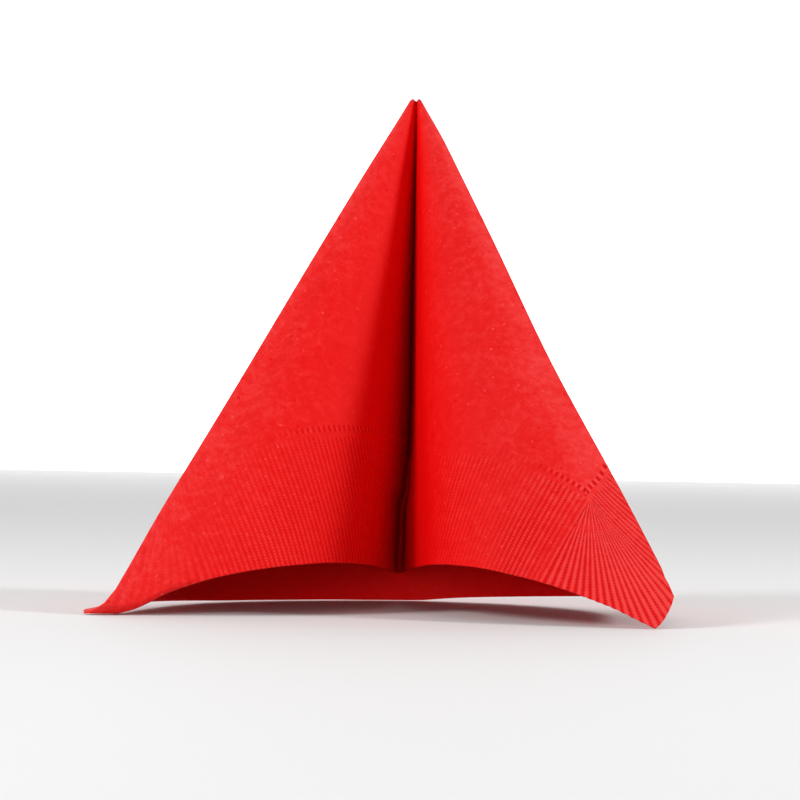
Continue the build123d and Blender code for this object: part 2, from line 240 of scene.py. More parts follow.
def folded(u, v):
    """Where the flat point (u, v) lies on the folded sheet, in mm."""
    u, v = np.asarray(u, float), np.asarray(v, float)
    psi, r = np.arctan2(np.abs(u), v), np.hypot(u, v)
    out = np.zeros(u.shape + (3,))
    R = edge_r(psi)
    for sgn, tab in ((-1, HALF_L), (1, HALF_R)):
        m = (u < 0) if sgn < 0 else (u >= 0)
        if not m.any():
            continue
        ps, L, T, _ = tab
        l = np.stack([np.interp(psi[m], ps, L[:, k]) for k in range(3)], -1)
        t = np.stack([np.interp(psi[m], ps, T[:, k]) for k in range(3)], -1)
        r0 = np.linalg.norm(t - APEX, axis=-1)
        w = (r[m] - r0) / (R[m] - r0)
        p = t + (l - t) * w[..., None]
        q, d = r[m] / R[m], np.degrees(psi[m])
        # round the front fold, so that it leaves both layers along their own lie
        f0, f1 = tab[3][0]
        k = (psi[m] > f0) & (psi[m] < f1)
        if k.any():
            x = ((psi[m][k] - f0) / (f1 - f0))[:, None]

            def at(a):
                l = np.array([np.interp(a, ps, L[:, c]) for c in range(3)])
                t = np.array([np.interp(a, ps, T[:, c]) for c in range(3)])
                return t + (l - t) * w[k][:, None]
            p0, p1 = at(f0), at(f1)
            m0, m1 = p0 - at(f0 - 0.006), at(f1 + 0.006) - p1
            m0 /= np.linalg.norm(m0, axis=1)[:, None]
            m1 /= np.linalg.norm(m1, axis=1)[:, None]
            g = np.linalg.norm(p1 - p0, axis=1)[:, None] * (1.5 - 0.5 * (m0 * m1).sum(1)[:, None])
            p[k] = ((2 * x ** 3 - 3 * x ** 2 + 1) * p0 + (x ** 3 - 2 * x ** 2 + x) * g * m0
                    + (3 * x ** 2 - 2 * x ** 3) * p1 + (x ** 3 - x ** 2) * g * m1)
        if sgn < 0:
            e = np.where(d < 90, d, np.where(d < 135.4, 90 - (d - 90) * 0.98, 45.5 + (d - 135.4)))
            a = smoothstep((d - 12) / 26) * (1 - smoothstep((e - 60) / 27))
            p[..., 0] -= 0.7 * smoothstep(q / 0.2) * (1 - smoothstep((q - 0.8) / 0.16)) * a
            # the left foot spreads on the table: the fold kinks outward, its
            # lowest corner runs out to a point and the edge curls under
            f = np.clip((q - 0.965) / 0.035, 0, 1) ** 1.5
            a = 1 - smoothstep(np.abs(d - 45.6) / 5.5)
            p += (f * a)[..., None] * np.array((-1.7, -0.1, -0.3))
            f = np.clip((q - 0.980) / 0.020, 0, 1) ** 3.4
            a = np.exp(-((d - 46.9) / np.where(d < 46.9, 1.9, 0.80)) ** 2)
            p += (f * a)[..., None] * np.array((-6.6, 0.5, -0.35))
            f = smoothstep((q - 0.9905) / 0.0095)
            a = smoothstep((d - 37.5) / 5.0) * (1 - smoothstep((d - 45.8) / 1.2))
            p += (f * a)[..., None] * np.array((0.0, 2.8, -0.55))
            # the inner fold stops short of the outer one's foot
            a = (1 - smoothstep(np.abs(d - 135.4) / 8.0)) * smoothstep((q - 0.92) / 0.06)
            p += a[..., None] * np.array((0.8, 4.2, 0.0))
        else:
            # the right fold runs in a slight hollow curve, and the layers behind
            # it follow: e is where each of them lies, counted from the front fold
            e = np.where(d < 90, d, np.where(d < 135.4, 90 - (d - 90) * 0.905, 49 + (d - 135.4) * 0.92))
            a = smoothstep((d - 12) / 26) * (1 - smoothstep((e - 60) / 27))
            p[..., 0] += (0.95 * smoothstep(q / 0.12) - 1.8 * np.exp(-((q - 0.57) / 0.2) ** 2)) * a
            # and its lowest end turns in round the corner
            a = smoothstep((d - 46.0) / 1.5) * (1 - smoothstep((e - 52) / 12))
            p += (smoothstep((q - 0.955) / 0.045) * a)[..., None] * np.array((-0.35, 0.0, 0.2))
            b0, b1 = np.degrees(tab[3][0])
            a = smoothstep((d - b0) / (b1 - b0) * 1.8) * (1 - smoothstep((e - 52) / 12))
            p += (smoothstep((q - 0.945) / 0.05) * a)[..., None] * np.array((-2.6, 0.2, 0.0))
        # the outer layer stands off a little below the point, round the others
        a = smoothstep((d - 52.0) / 22.0) * (1 - smoothstep((d - 89.7) / 0.6))
        a = a * smoothstep((q - 0.008) / 0.02) * (1 - smoothstep((q - 0.08) / 0.20))
        p += (0.85 * a)[..., None] * np.array((0.35 * sgn, 0.94, 0.0))
        # the inner layers sag a little into the hollow, clear of the outer one
        a = smoothstep(np.minimum(d - 90.4, 180.0 - d) / 8.0)
        a = a * smoothstep((q - 0.03) / 0.10) * (1 - smoothstep((q - 0.6) / 0.38))
        c = APEX[:2] + (np.array((38.0 * sgn, -66.0)) - APEX[:2]) * q[..., None]
        way = c - p[..., :2]
        way /= np.linalg.norm(way, axis=-1)[..., None]
        p[..., :2] += way * (1.5 * a)[..., None]
        # the valley's bottom line bows to the right before it meets the edge
        a = 1 - smoothstep(d / (30 if sgn < 0 else 22))
        p[..., 0] += 0.33 * np.interp(q, BOW[:, 0], BOW[:, 1]) * a
        out[m] = p
    return out


def tissue_waves(u, v):
    """Slow, slight waves of the standing paper, along the normal."""
    r = np.hypot(u, v) / 160.0
    a = np.arctan2(u, v)
    front = smoothstep((1.15 - np.abs(a)) / 0.35)
    w = 0.16 * np.sin(5.1 * a + 2.3 * r + 0.4) * r + 0.10 * np.sin(11.3 * a - 3.1 * r * r + 1.7) * r
    w += 0.10 * np.sin(3.0 * a + 7.5 * r)
    return w * (0.25 + 0.75 * front) * smoothstep(r * 3)


_rng = np.random.default_rng(7)
_lat = _rng.random((64, 64))


def value_noise(x, y):
    xi, yi = np.floor(x).astype(int), np.floor(y).astype(int)
    fx, fy = x - xi, y - yi
    fx, fy = fx * fx * (3 - 2 * fx), fy * fy * (3 - 2 * fy)
    g = lambda i, j: _lat[i % 64, j % 64]
    return ((g(xi, yi) * (1 - fx) + g(xi + 1, yi) * fx) * (1 - fy)
            + (g(xi, yi + 1) * (1 - fx) + g(xi + 1, yi + 1) * fx) * fy)


def lean(v, right):
    """Lean of the side ribs that start at v: full by the corner, none at the half fold."""
    return np.where(right, LEAN_R * smoothstep((v - 15.0) / 50.0), 0.0)


def border(u, v):
    """Rib phase, distance along the rib, and whether the point is in a corner's
    fan, at a flat point."""
    s = np.sign(u) + (u == 0)
    au = np.abs(u)
    bv = band_v(u)
    cv = band_v(s * BAND_U)
    du, dv = au - BAND_U, v - cv
    full = np.where(s > 0, LEAN_R, 0.0)
    rays = np.where(s > 0, FAN_R, FAN_L)
    nd = du * np.sin(full) - dv * np.cos(full)
    n0 = BAND_U / RIB
    in_fan = (du > 0) & (nd < 0)
    side = ~in_fan & (du > v - bv)
    th = np.arctan2(np.maximum(du, 1e-9), np.maximum(dv, 1e-9))
    x = th / (math.pi / 2 - full)
    x = np.where(s > 0, 0.65 * x + 0.35 * x * x, x)
    pitch = np.where(s > 0, SIDE_R, RIB)
    phase = np.where(in_fan, n0 + x * rays, np.where(side, n0 + rays + nd / pitch, au / RIB))
    along = np.where(in_fan, np.hypot(du, dv), np.where(side, du / np.cos(full), v - bv))
    return phase, along, in_fan


def ray_wave(phase, along):
    """The fan's rays: every fourth starts at the corner, the rest farther out."""
    f = phase - BAND_U / RIB
    near, mid = np.clip((along - 3.0) / 3.0, 0, 1), np.clip((along - 9.0) / 6.0, 0, 1)
    w = np.cos(math.pi * f / 2) * (1 - near) + np.cos(math.pi * f) * near
    return w * (1 - mid) + np.cos(2 * math.pi * f) * mid


def emboss(u, v):
    """Height of the embossing on the front half, in mm. It is pressed hardest
    in the right-hand fan and the left wing, and is flattened at the left fold."""
    phase, along, fan = border(u, v)
    outside, inside = along, -along
    front = smoothstep((v + 2.0) / 2.0)
    left = 0.12 + 0.88 * smoothstep((np.abs(v + u) / 1.4142 - 12) / 28)
    patch = 0.25 + 0.60 * np.exp(-((u - 117) / 9.0) ** 2) + 0.40 * np.exp(-((u - 86) / 8.0) ** 2)
    vary = np.where(u < 0, left * 0.65, np.where(fan, 1.1, np.where(u > BAND_U, 0.0, patch)))
    start = np.where(fan, smoothstep((along - 0.8) / 3.5), smoothstep((outside + 0.1) / 0.8))
    grow = np.where(fan, 0.75 + 0.45 * np.clip(along / 35.0, 0, 1.3), 1.0)
    wave = np.where(fan, ray_wave(phase, along), np.cos(2 * math.pi * phase))
    ribs = wave * start * grow * vary * RIB_DEPTH * (outside > -0.1)
    # the dashes
    across, run = inside, np.where(u > 0, np.where(phase > BAND_U / RIB + FAN_R - 9, (phase - BAND_U / RIB - FAN_R) * SIDE_R + BAND_U, phase * RIB), phase * RIB)
    d = (across - 2.0) / 0.78
    e = (run / DASH - np.round(run / DASH)) * DASH / 0.45
    seen = np.where(u < 0, smoothstep((np.abs(v + u) / 1.4142 - 16) / 16),
                    np.maximum(0.10 + 0.90 * smoothstep((u - 107) / 17), 0.4 * smoothstep((26 - u) / 12)))
    dash = -DASH_DEPTH * np.exp(-np.abs(d) ** 3) * np.exp(-np.abs(e) ** 3) * (across > 0) * seen
    lip = 0.05 * np.exp(-((across - 3.4) / 0.6) ** 2) + 0.05 * np.exp(-((across - 0.6) / 0.5) ** 2)
    lip = lip * (across > -0.3) * (outside < 0.3) * seen
    return (ribs + dash + lip) * front


# ------------------------------------------------------------- the mesh
FOLD_PSI = []
for sgn, tab in ((-1, HALF_L), (1, HALF_R)):
    for a, b in tab[3]:
        FOLD_PSI.append((sgn, a, b))


def psi_list(step, lo=-math.pi, hi=math.pi, fine=9):
    """Signed flat angles from lo to hi, closer together inside each fold."""
    base = list(np.arange(lo, hi - step * 0.4, step))
    out = []
    spans = [tuple(sorted((s * a, s * b))) for s, a, b in FOLD_PSI] + [(-0.011, 0.011)]
    for p in base:
        if all(not (a - step * 0.25 < p < b + step * 0.25) for a, b in spans):
            out.append(p)
    for a, b in spans:
        k = fine
        pad = (b - a) * 0.12
        out += [x for x in np.linspace(a - pad, b + pad, k + 1) if lo <= x < hi]
    return np.array(sorted(out))


# columns of the border: at right angles to the edge on the front half
cols_o, cols_b = [], []


def add(o, b):
    cols_o.append(o)
    cols_b.append(b)


PER = 4
du = RIB / PER


def side_cols(s):
    """The front half's columns on one side, from the half fold to the corner and on to the middle."""
    cv = float(band_v(s * BAND_U))
    res = []
    # the side edge, from v = 0 to the corner; closer at the half fold
    vs = [0.0, 0.12, 0.24, 0.36, 0.5, 0.65, 0.8, 1.0, 1.25]
    full = LEAN_R if s > 0 else 0.0
    dx = du / math.cos(full)
    n = int((cv - 1.6) / dx)
    vs += list(cv - dx * np.arange(n, -1, -1))
    vs = [x for x in vs if x <= cv]
    for x in vs:
        g = float(lean(np.array(x), s > 0))
        res.append(((s * EDGE_U, x + (EDGE_U - BAND_U) * math.tan(g)), (s * BAND_U, x)))
    rays = FAN_R if s > 0 else FAN_L
    k = rays * PER
    for i in range(k - 1, 0, -1):
        y = i / k
        y = (math.sqrt(0.4225 + 1.4 * y) - 0.65) / 0.7 if s > 0 else y
        th = (math.pi / 2 - full) * y
        dx, dy = math.sin(th), math.cos(th)
        tu = (EDGE_U - BAND_U) / dx if dx > 1e-9 else 1e9
        tv = (EDGE_F - cv) / dy if dy > 1e-9 else 1e9
        t = min(tu, tv)
        res.append(((s * (BAND_U + dx * t), cv + dy * t), (s * BAND_U, cv)))
    # keep the sheet's corner itself
    n = int(round(BAND_U / du))
    for i in range(n, 0, -1):
        x = i * BAND_U / n
        res.append(((s * x, EDGE_F), (s * x, float(band_v(s * x)))))
    return res


def with_corner(res, s):
    """Moves the nearest column onto the sheet's corner, so the corner stays sharp."""
    d = [math.hypot(abs(o[0]) - EDGE_U, o[1] - EDGE_F) for o, _ in res]
    k = int(np.argmin(d))
    res[k] = ((s * EDGE_U, EDGE_F), res[k][1])
    return res


left = with_corner(side_cols(-1), -1)
right = with_corner(side_cols(1), 1)[::-1]


def back_cols():
    """The second half's columns run straight to the point."""
    st = math.radians(1.0)
    ps = psi_list(st, -math.pi, math.pi, fine=10)
    ps = [p for p in ps if abs(p) > math.pi / 2 + 0.0006]
    neg = [p for p in ps if p < 0]
    pos = [p for p in ps if p > 0]
    corner = math.atan2(EDGE_U, -EDGE_S)
    for lst, c in ((neg, -corner), (pos, corner)):
        k = int(np.argmin([abs(x - c) for x in lst]))
        lst[k] = c

    def col(p):
        R = float(edge_r(np.array(p)))
        ib = min(BAND_U / abs(math.sin(p)), 126.0 / max(1e-9, -math.cos(p)))
        return ((R * math.sin(p), R * math.cos(p)), (ib * math.sin(p), ib * math.cos(p)))
    return [col(p) for p in neg], [col(p) for p in pos]


neg, pos = back_cols()
cols = neg + left + [((0.0, EDGE_F), (0.0, float(band_v(0.0))))] + right + pos
O = np.array([c[0] for c in cols])
B = np.array([c[1] for c in cols])

verts_uv, index = [], {}


def vid(p):
    k = (round(float(p[0]), 5), round(float(p[1]), 5))
    if k not in index:
        index[k] = len(verts_uv)
        verts_uv.append(k)
    return index[k]


faces = []


def face(*ids):
    out = []
    for i in ids:
        if not out or out[-1] != i:
            out.append(i)
    if len(out) > 1 and out[0] == out[-1]:
        out.pop()
    if len(out) >= 3 and len(set(out)) == len(out):
        faces.append(tuple(out))


rings = []
W = [0.0, 0.012, 0.028, 0.05, 0.14, 0.27, 0.42, 0.57, 0.71, 0.83, 0.92, 0.975, 1.0]
for w in W:
    rings.append(O + (B - O) * w)
for d in (0.9, 1.45, 2.0, 2.55, 3.1, 3.9):
    p = B.copy()
    fr = B[:, 1] >= 0
    s = np.sign(B[:, 0])
    au = np.minimum(np.abs(B[:, 0]), BAND_U - d)
    cvv = band_v(s * BAND_U)
    bottom = fr & (np.abs(B[:, 1] - band_v(B[:, 0])) < 1e-6) & ~(np.abs(np.abs(B[:, 0]) - BAND_U) < 1e-9)
    p[bottom, 0] = (s * au)[bottom]
    p[bottom, 1] = (band_v(p[:, 0]) - d)[bottom]
    sidem = fr & ~bottom
    p[sidem, 0] = (s * (BAND_U - d))[sidem]
    p[sidem, 1] = np.minimum(B[:, 1], band_v(s * (BAND_U - d)) - d)[sidem]
    back = ~fr
    p[back] = B[back] * (1 - d / BAND_U)
    rings.append(p)

for a, b in zip(rings, rings[1:]):
    n = len(a)
    ia, ib = [vid(x) for x in a], [vid(x) for x in b]
    for i in range(n):
        j = (i + 1) % n
        face(ia[i], ia[j], ib[j], ib[i])


def zipper(a, b):
    """Joins two closed rings of flat points with different counts."""
    def prep(r):
        q = [r[0]]
        for x in r[1:]:
            if vid(x) != vid(q[-1]):
                q.append(x)
        if vid(q[0]) == vid(q[-1]):
            q.pop()
        ps = np.array([math.atan2(x[0], x[1]) for x in q])
        k = int(np.argmin(ps))
        q, ps = q[k:] + q[:k], np.roll(ps, -k)
        return [vid(x) for x in q] , ps
    ia, pa = prep([tuple(x) for x in a])
    ib, pb = prep([tuple(x) for x in b])
    na, nb = len(ia), len(ib)
    i = j = 0
    while i < na or j < nb:
        nxa = pa[i + 1] if i + 1 < na else pa[(i + 1) % na] + 2 * math.pi
        nxb = pb[j + 1] if j + 1 < nb else pb[(j + 1) % nb] + 2 * math.pi
        if j >= nb or (i < na and nxa <= nxb):
            face(ia[i % na], ia[(i + 1) % na], ib[j % nb])
            i += 1
        else:
            face(ia[i % na], ib[(j + 1) % nb], ib[j % nb])
            j += 1


def ring_at(ps, q):
    """Ring inside the dashes, at q of the way from the point (0) to them (1)."""
    out = []
    ru, rb = BAND_U - 3.9, 126.0 * (1 - 3.9 / BAND_U)
    for p in ps:
        s, c = abs(math.sin(p)), math.cos(p)
        r = ru / s if s > 1e-9 else 1e9
        if c > 1e-9:
            # the front side's inner edge is slightly askew
            x = r
            for _ in range(6):
                vv = float(band_v(x * math.sin(p))) - 3.9
                x = min(r, vv / c)
            r = x
        else:
            r = min(r, rb / max(1e-9, -c))
        r = max(2.6, r * q)
        out.append((r * math.sin(p), r * c))
    return out


P1 = psi_list(math.radians(0.75), fine=9)
P2 = psi_list(math.radians(1.5), fine=8)
P3 = psi_list(math.radians(4.0), fine=6)
q1 = [0.985, 0.955, 0.92, 0.88, 0.84, 0.80, 0.76, 0.72, 0.68, 0.64, 0.60]
q2 = [0.56, 0.52, 0.48, 0.44, 0.40, 0.36, 0.32, 0.28, 0.245, 0.21]
q3 = [0.18, 0.155, 0.13, 0.108, 0.088, 0.07, 0.055, 0.042, 0.032, 0.0]


def hole(ps):
    """The innermost ring: where each layer ends below the point."""
    out = []
    for p in ps:
        tab = HALF_L if p < 0 else HALF_R
        t = np.array([np.interp(abs(p), tab[0], tab[2][:, k]) for k in range(3)])
        r = float(np.linalg.norm(t - APEX))
        out.append((r * math.sin(p), r * math.cos(p)))
    return out


prev = rings[-1]
prev_list = None
for ps, qs in ((P1, q1), (P2, q2), (P3, q3)):
    for k, q in enumerate(qs):
        if q == 0.0:
            cur = hole(ps)
        else:
            cur = ring_at(ps, q)
            # the inner layers stop sooner: keep the rows above their end apart
            h = hole(ps)
            cur = [c if math.hypot(*c) > math.hypot(*g) * 1.0 + 1.2 * q / 0.03 * 0.3 else
                   tuple(np.array(g) * (1 + 0.10 * (1 + q * 12))) for c, g in zip(cur, h)]
        if prev_list is ps:
            ia, ib = [vid(x) for x in prev], [vid(x) for x in cur]
            n = len(ia)
            for i in range(n):
                j = (i + 1) % n
                face(ia[i], ia[j], ib[j], ib[i])
        else:
            zipper(prev, cur)
        prev, prev_list = cur, ps

# The border's columns cross the two front folds at a slant: cut the mesh
# along the folds' own straight lines there, so that each fold stays smooth.
bm = bmesh.new()
bv = [bm.verts.new((x, y, 0)) for x, y in verts_uv]
for f in faces:
    bm.faces.new([bv[i] for i in f])
for sgn, tab in ((-1, HALF_L), (1, HALF_R)):
    a, b = tab[3][0]
    pad = (b - a) * 0.12
    lines = list(np.linspace(a - pad, b + pad, 9))
    if sgn > 0:
        lines.append(math.atan2(EDGE_U, EDGE_F) + 0.002)
    for psi in lines:
        d = Vector((sgn * math.sin(psi), math.cos(psi), 0))
        near = [f for f in bm.faces if f.calc_center_median().length > 116
                and f.calc_center_median().normalized().dot(d) > 0.985]
        geom = list({v for f in near for v in f.verts} | {e for f in near for e in f.edges}) + near
        bmesh.ops.bisect_plane(bm, geom=geom, dist=2e-4, plane_co=(0, 0, 0),
                               plane_no=(d.y, -d.x, 0))
bm.verts.index_update()
verts_uv = [(v.co.x, v.co.y) for v in bm.verts]
faces = [tuple(v.index for v in f.verts) for f in bm.faces]
bm.free()

UV = np.array(verts_uv)
U, V = UV[:, 0], UV[:, 1]
print("flat verts", len(UV), "faces", len(faces))

EPS = 0.04
base = folded(U, V)
pu = folded(U + EPS, V) - folded(U - EPS, V)
pv = folded(U, V + EPS) - folded(U, V - EPS)
nrm = -np.cross(pu, pv)
nrm /= np.linalg.norm(nrm, axis=1)[:, None]
lift = emboss(U, V) + tissue_waves(U, V)
mid = base + nrm * lift[:, None] + SHIFT
mid[:, 2] = np.maximum(mid[:, 2], THICK / 2)
front_skin = mid + nrm * THICK / 2
back_skin = mid - nrm * THICK / 2
N = len(UV)
allv = np.concatenate([front_skin, back_skin]) * 0.001

# the boundary edges of the flat mesh, to close the rims
count = {}
for f in faces:
    for a, b in zip(f, f[1:] + f[:1]):
        count[(a, b)] = count.get((a, b), 0) + 1
allf = []
for f in faces:
    allf.append(f[::-1])
    allf.append(tuple(i + N for i in f))
rim = [(a, b) for (a, b) in count if (b, a) not in count]
for a, b in rim:
    allf.append((a, b, b + N, a + N))
tris = sum(len(f) - 2 for f in allf)
print("triangles", tris, "rim", len(rim), "doubles", sum(1 for c in count.values() if c > 1))

me = bpy.data.meshes.new("napkin_sheet")
me.from_pydata([tuple(map(float, p)) for p in allv], [], allf)
me.validate()
bm = bmesh.new()
bm.from_mesh(me)
bmesh.ops.recalc_face_normals(bm, faces=bm.faces)
open_edges = sum(1 for e in bm.edges if len(e.link_faces) != 2)
print("edges not shared by two faces", open_edges)
bm.to_mesh(me)
bm.free()
for p in me.polygons:
    p.use_smooth = True

flat = me.uv_layers.new(name="flat")
li = np.zeros(len(me.loops), int)
me.loops.foreach_get("vertex_index", li)
k = li % N
flat.data.foreach_set("uv", np.stack([U[k] / 100.0, V[k] / 100.0], 1).astype(np.float32).ravel())
napkin = bpy.data.objects.new("napkin_sheet", me)
bpy.context.scene.collection.objects.link(napkin)


# ------------------------------------------------------------ the material
def nodes_of(name):
    m = bpy.data.materials.new(name)
    m.use_nodes = True
    nt = m.node_tree
    nt.nodes.clear()
    return m, nt


def N_(nt, kind, **kw):
    n = nt.nodes.new(kind)
    for k, v in kw.items():
        setattr(n, k, v)
    return n


def math_(nt, op, a, b=None, c=None, clamp=False):
    n = N_(nt, "ShaderNodeMath", operation=op, use_clamp=clamp)
    for i, x in enumerate((a, b, c)):
        if x is None:
            continue
        if isinstance(x, (int, float)):
            n.inputs[i].default_value = x
        else:
            nt.links.new(x, n.inputs[i])
    return n.outputs[0]


def noise_(nt, vec, scale, detail=2.0, rough=0.5, dist=0.0):
    n = N_(nt, "ShaderNodeTexNoise")
    n.inputs["Scale"].default_value = scale
    n.inputs["Detail"].default_value = detail
    n.inputs["Roughness"].default_value = rough
    n.inputs["Distortion"].default_value = dist
    nt.links.new(vec, n.inputs["Vector"])
    return n.outputs["Fac"]


def tissue():
    """Dyed tissue: soft fibre mottling, and the border's ribs, pits and dashes
    worked out from the flat coordinates, so they keep to the sheet."""
    m, nt = nodes_of("red_tissue")
    out = N_(nt, "ShaderNodeOutputMaterial")
    bs = N_(nt, "ShaderNodeBsdfPrincipled")
    nt.links.new(bs.outputs[0], out.inputs[0])
    flat = N_(nt, "ShaderNodeUVMap", uv_map="flat").outputs[0]
    M = lambda op, a, b=None, c=None, clamp=False: math_(nt, op, a, b, c, clamp)
    sep = N_(nt, "ShaderNodeSeparateXYZ")
    nt.links.new(flat, sep.inputs[0])
    u, v = M("MULTIPLY", sep.outputs[0], 100.0), M("MULTIPLY", sep.outputs[1], 100.0)
    back = M("LESS_THAN", v, 0.0)
    vv = M("ABSOLUTE", v)
    au = M("ABSOLUTE", u)
    out_r = M("MULTIPLY", M("SUBTRACT", u, 90.0), 1 / 37.0, clamp=True)
    bv = M("MULTIPLY_ADD", M("TANH", M("DIVIDE", u, 35.0)), 2.6, 121.7)
    bv = M("MULTIPLY_ADD", M("MULTIPLY", out_r, out_r), 2.3, bv)
    pos = M("GREATER_THAN", u, 0.0)
    cvl, cvr = (float(band_v(x * BAND_U)) for x in (-1, 1))
    cv = M("MULTIPLY_ADD", pos, cvr - cvl, cvl)
    sg, cg = M("MULTIPLY", pos, math.sin(LEAN_R)), M("MULTIPLY_ADD", pos, math.cos(LEAN_R) - 1, 1.0)
    rays = M("MULTIPLY_ADD", pos, FAN_R - FAN_L, FAN_L)
    open_ = M("MULTIPLY_ADD", pos, 1 / (math.pi / 2 - LEAN_R) - 2 / math.pi, 2 / math.pi)
    pitch = M("MULTIPLY_ADD", pos, 1 / SIDE_R - 1 / RIB, 1 / RIB)
    du, dv, db = M("SUBTRACT", au, BAND_U), M("SUBTRACT", vv, cv), M("SUBTRACT", vv, bv)
    nd = M("SUBTRACT", M("MULTIPLY", du, sg), M("MULTIPLY", dv, cg))
    fan = M("MULTIPLY", M("GREATER_THAN", du, 0.0), M("LESS_THAN", nd, 0.0))
    nofan = M("SUBTRACT", 1.0, fan)
    side = M("MULTIPLY", nofan, M("GREATER_THAN", du, db))
    low = M("SUBTRACT", nofan, side)
    n0 = BAND_U / RIB
    ph = M("MULTIPLY", low, M("DIVIDE", au, RIB))
    ph = M("MULTIPLY_ADD", side, M("ADD", M("MULTIPLY_ADD", nd, pitch, n0), rays), ph)
    x = M("MULTIPLY", M("ARCTAN2", du, dv), open_)
    x = M("MULTIPLY_ADD", M("MULTIPLY", pos, 0.35), M("SUBTRACT", M("MULTIPLY", x, x), x), x)
    ph = M("MULTIPLY_ADD", fan, M("MULTIPLY_ADD", x, rays, n0), ph)
    al = M("MULTIPLY", low, db)
    al = M("MULTIPLY_ADD", side, M("DIVIDE", du, cg), al)
    far = M("SQRT", M("ADD", M("MULTIPLY", du, du), M("MULTIPLY", dv, dv)))
    al = M("MULTIPLY_ADD", fan, far, al)
    # 1 unit of "flat" is 100 mm
    fibre = noise_(nt, flat, 120.0, 4.0, 0.65, 0.6)
    mottle = noise_(nt, flat, 36.0, 3.0, 0.6, 0.4)
    cloud = noise_(nt, flat, 6.0, 2.0, 0.5)
    patch = noise_(nt, flat, 6.5, 1.0, 0.5)
    fleck = noise_(nt, flat, 55.0, 0.0, 0.5)
    front = M("SUBTRACT", 1.0, back)
    # the pressing fades toward the left fold and in patches on the right
    fold_l = M("MULTIPLY", M("ABSOLUTE", M("ADD", u, v)), 0.7071)
    near_l = M("MULTIPLY_ADD", fold_l, 1 / 28.0, -12 / 28.0, clamp=True)
    left = M("MULTIPLY_ADD", near_l, 0.9, 0.10)
    hump = M("MULTIPLY", M("SUBTRACT", u, 117.0), 1 / 9.5)
    hump = M("POWER", 2.718, M("MULTIPLY", M("MULTIPLY", hump, hump), -1.0))
    hump2 = M("MULTIPLY", M("SUBTRACT", u, 86.0), 1 / 8.5)
    hump2 = M("POWER", 2.718, M("MULTIPLY", M("MULTIPLY", hump2, hump2), -1.0))
    right = M("MULTIPLY_ADD", hump, 0.65, 0.22)
    right = M("MULTIPLY_ADD", hump2, 0.40, right)
    right = M("ADD", right, M("MULTIPLY_ADD", patch, 0.8, -0.4))
    right = M("MAXIMUM", M("MAXIMUM", right, 0.12), M("GREATER_THAN", u, BAND_U))
    zone = M("MULTIPLY_ADD", pos, M("SUBTRACT", right, left), left)
    start = M("SUBTRACT", al, 0.2, clamp=True)
    late = M("MULTIPLY", M("SUBTRACT", al, 1.0), 0.5, clamp=True)
    on = M("MULTIPLY_ADD", fan, M("SUBTRACT", late, start), start)
    on = M("MULTIPLY", M("MULTIPLY", on, zone), front)
    wave = M("COSINE", M("MULTIPLY", ph, 2 * math.pi))
    f = M("SUBTRACT", ph, n0)
    near = M("MULTIPLY_ADD", al, 1 / 3.0, -1.0, clamp=True)
    mid = M("MULTIPLY_ADD", al, 1 / 6.0, -1.5, clamp=True)
    ray4, ray2 = M("COSINE", M("MULTIPLY", f, math.pi / 2)), M("COSINE", M("MULTIPLY", f, math.pi))
    ray = M("MULTIPLY_ADD", near, M("SUBTRACT", ray2, ray4), ray4)
    ray = M("MULTIPLY_ADD", mid, M("SUBTRACT", wave, ray), ray)
    wave = M("MULTIPLY_ADD", fan, M("SUBTRACT", ray, wave), wave)
    groove = M("POWER", M("MULTIPLY_ADD", wave, -0.5, 0.5), 2.0)
    ridge = M("POWER", M("MULTIPLY_ADD", wave, 0.5, 0.5), 1.3)
    drift = M("MULTIPLY", M("ROUND", M("ADD", ph, 0.5)), 0.45)
    pit = M("MULTIPLY_ADD", M("SINE", M("MULTIPLY_ADD", al, 2 * math.pi, drift)), 0.5, 0.5)
    drift = M("MULTIPLY", M("ROUND", ph), 0.45)
    rope = M("MULTIPLY_ADD", M("SINE", M("MULTIPLY_ADD", al, 2 * math.pi, drift)), 0.5, 0.5)
    rope = M("MULTIPLY_ADD", fan, M("SUBTRACT", 0.75, rope), rope)
    dots = M("MULTIPLY", M("MULTIPLY", groove, pit), on)
    lines = M("MULTIPLY", groove, on)
    beads = M("MULTIPLY", M("MULTIPLY", ridge, rope), on)
    # the row of dashes inside the ribs
    off = M("ABSOLUTE", M("ADD", al, 2.0))
    step = M("MULTIPLY", M("MULTIPLY_ADD", side, M("SUBTRACT", M("MULTIPLY", nd, 1 / RIB), M("SUBTRACT", ph, n0)), ph), RIB / DASH)
    fr = M("MULTIPLY", M("ABSOLUTE", M("SUBTRACT", M("FRACT", M("ADD", step, 0.5)), 0.5)), DASH)
    dash = M("MULTIPLY", M("MULTIPLY", M("SUBTRACT", 1.0, off), 3.0, clamp=True),
             M("MULTIPLY", M("SUBTRACT", 0.48, fr), 4.0, clamp=True))
    rise = M("MULTIPLY", M("MULTIPLY", M("SUBTRACT", 1.2, off), 2.0, clamp=True),
             M("MULTIPLY", M("SUBTRACT", fr, 0.50), 4.0, clamp=True))
    seen_r = M("MAXIMUM", M("MULTIPLY_ADD", M("MULTIPLY", M("SUBTRACT", u, 107.0), 0.06, clamp=True), 0.9, 0.10),
               M("MULTIPLY", M("SUBTRACT", 26.0, u), 0.03, clamp=True))
    seen_r = M("MINIMUM", seen_r, 1.0)
    seen_l = M("MULTIPLY_ADD", fold_l, 1 / 16.0, -1.0, clamp=True)
    seen = M("MULTIPLY_ADD", pos, M("SUBTRACT", seen_r, seen_l), seen_l)
    seen = M("MULTIPLY", M("MULTIPLY", seen, nofan), front)
    dash, rise = M("MULTIPLY", dash, seen), M("MULTIPLY", rise, seen)
    height = M("MULTIPLY", fibre, 0.07)
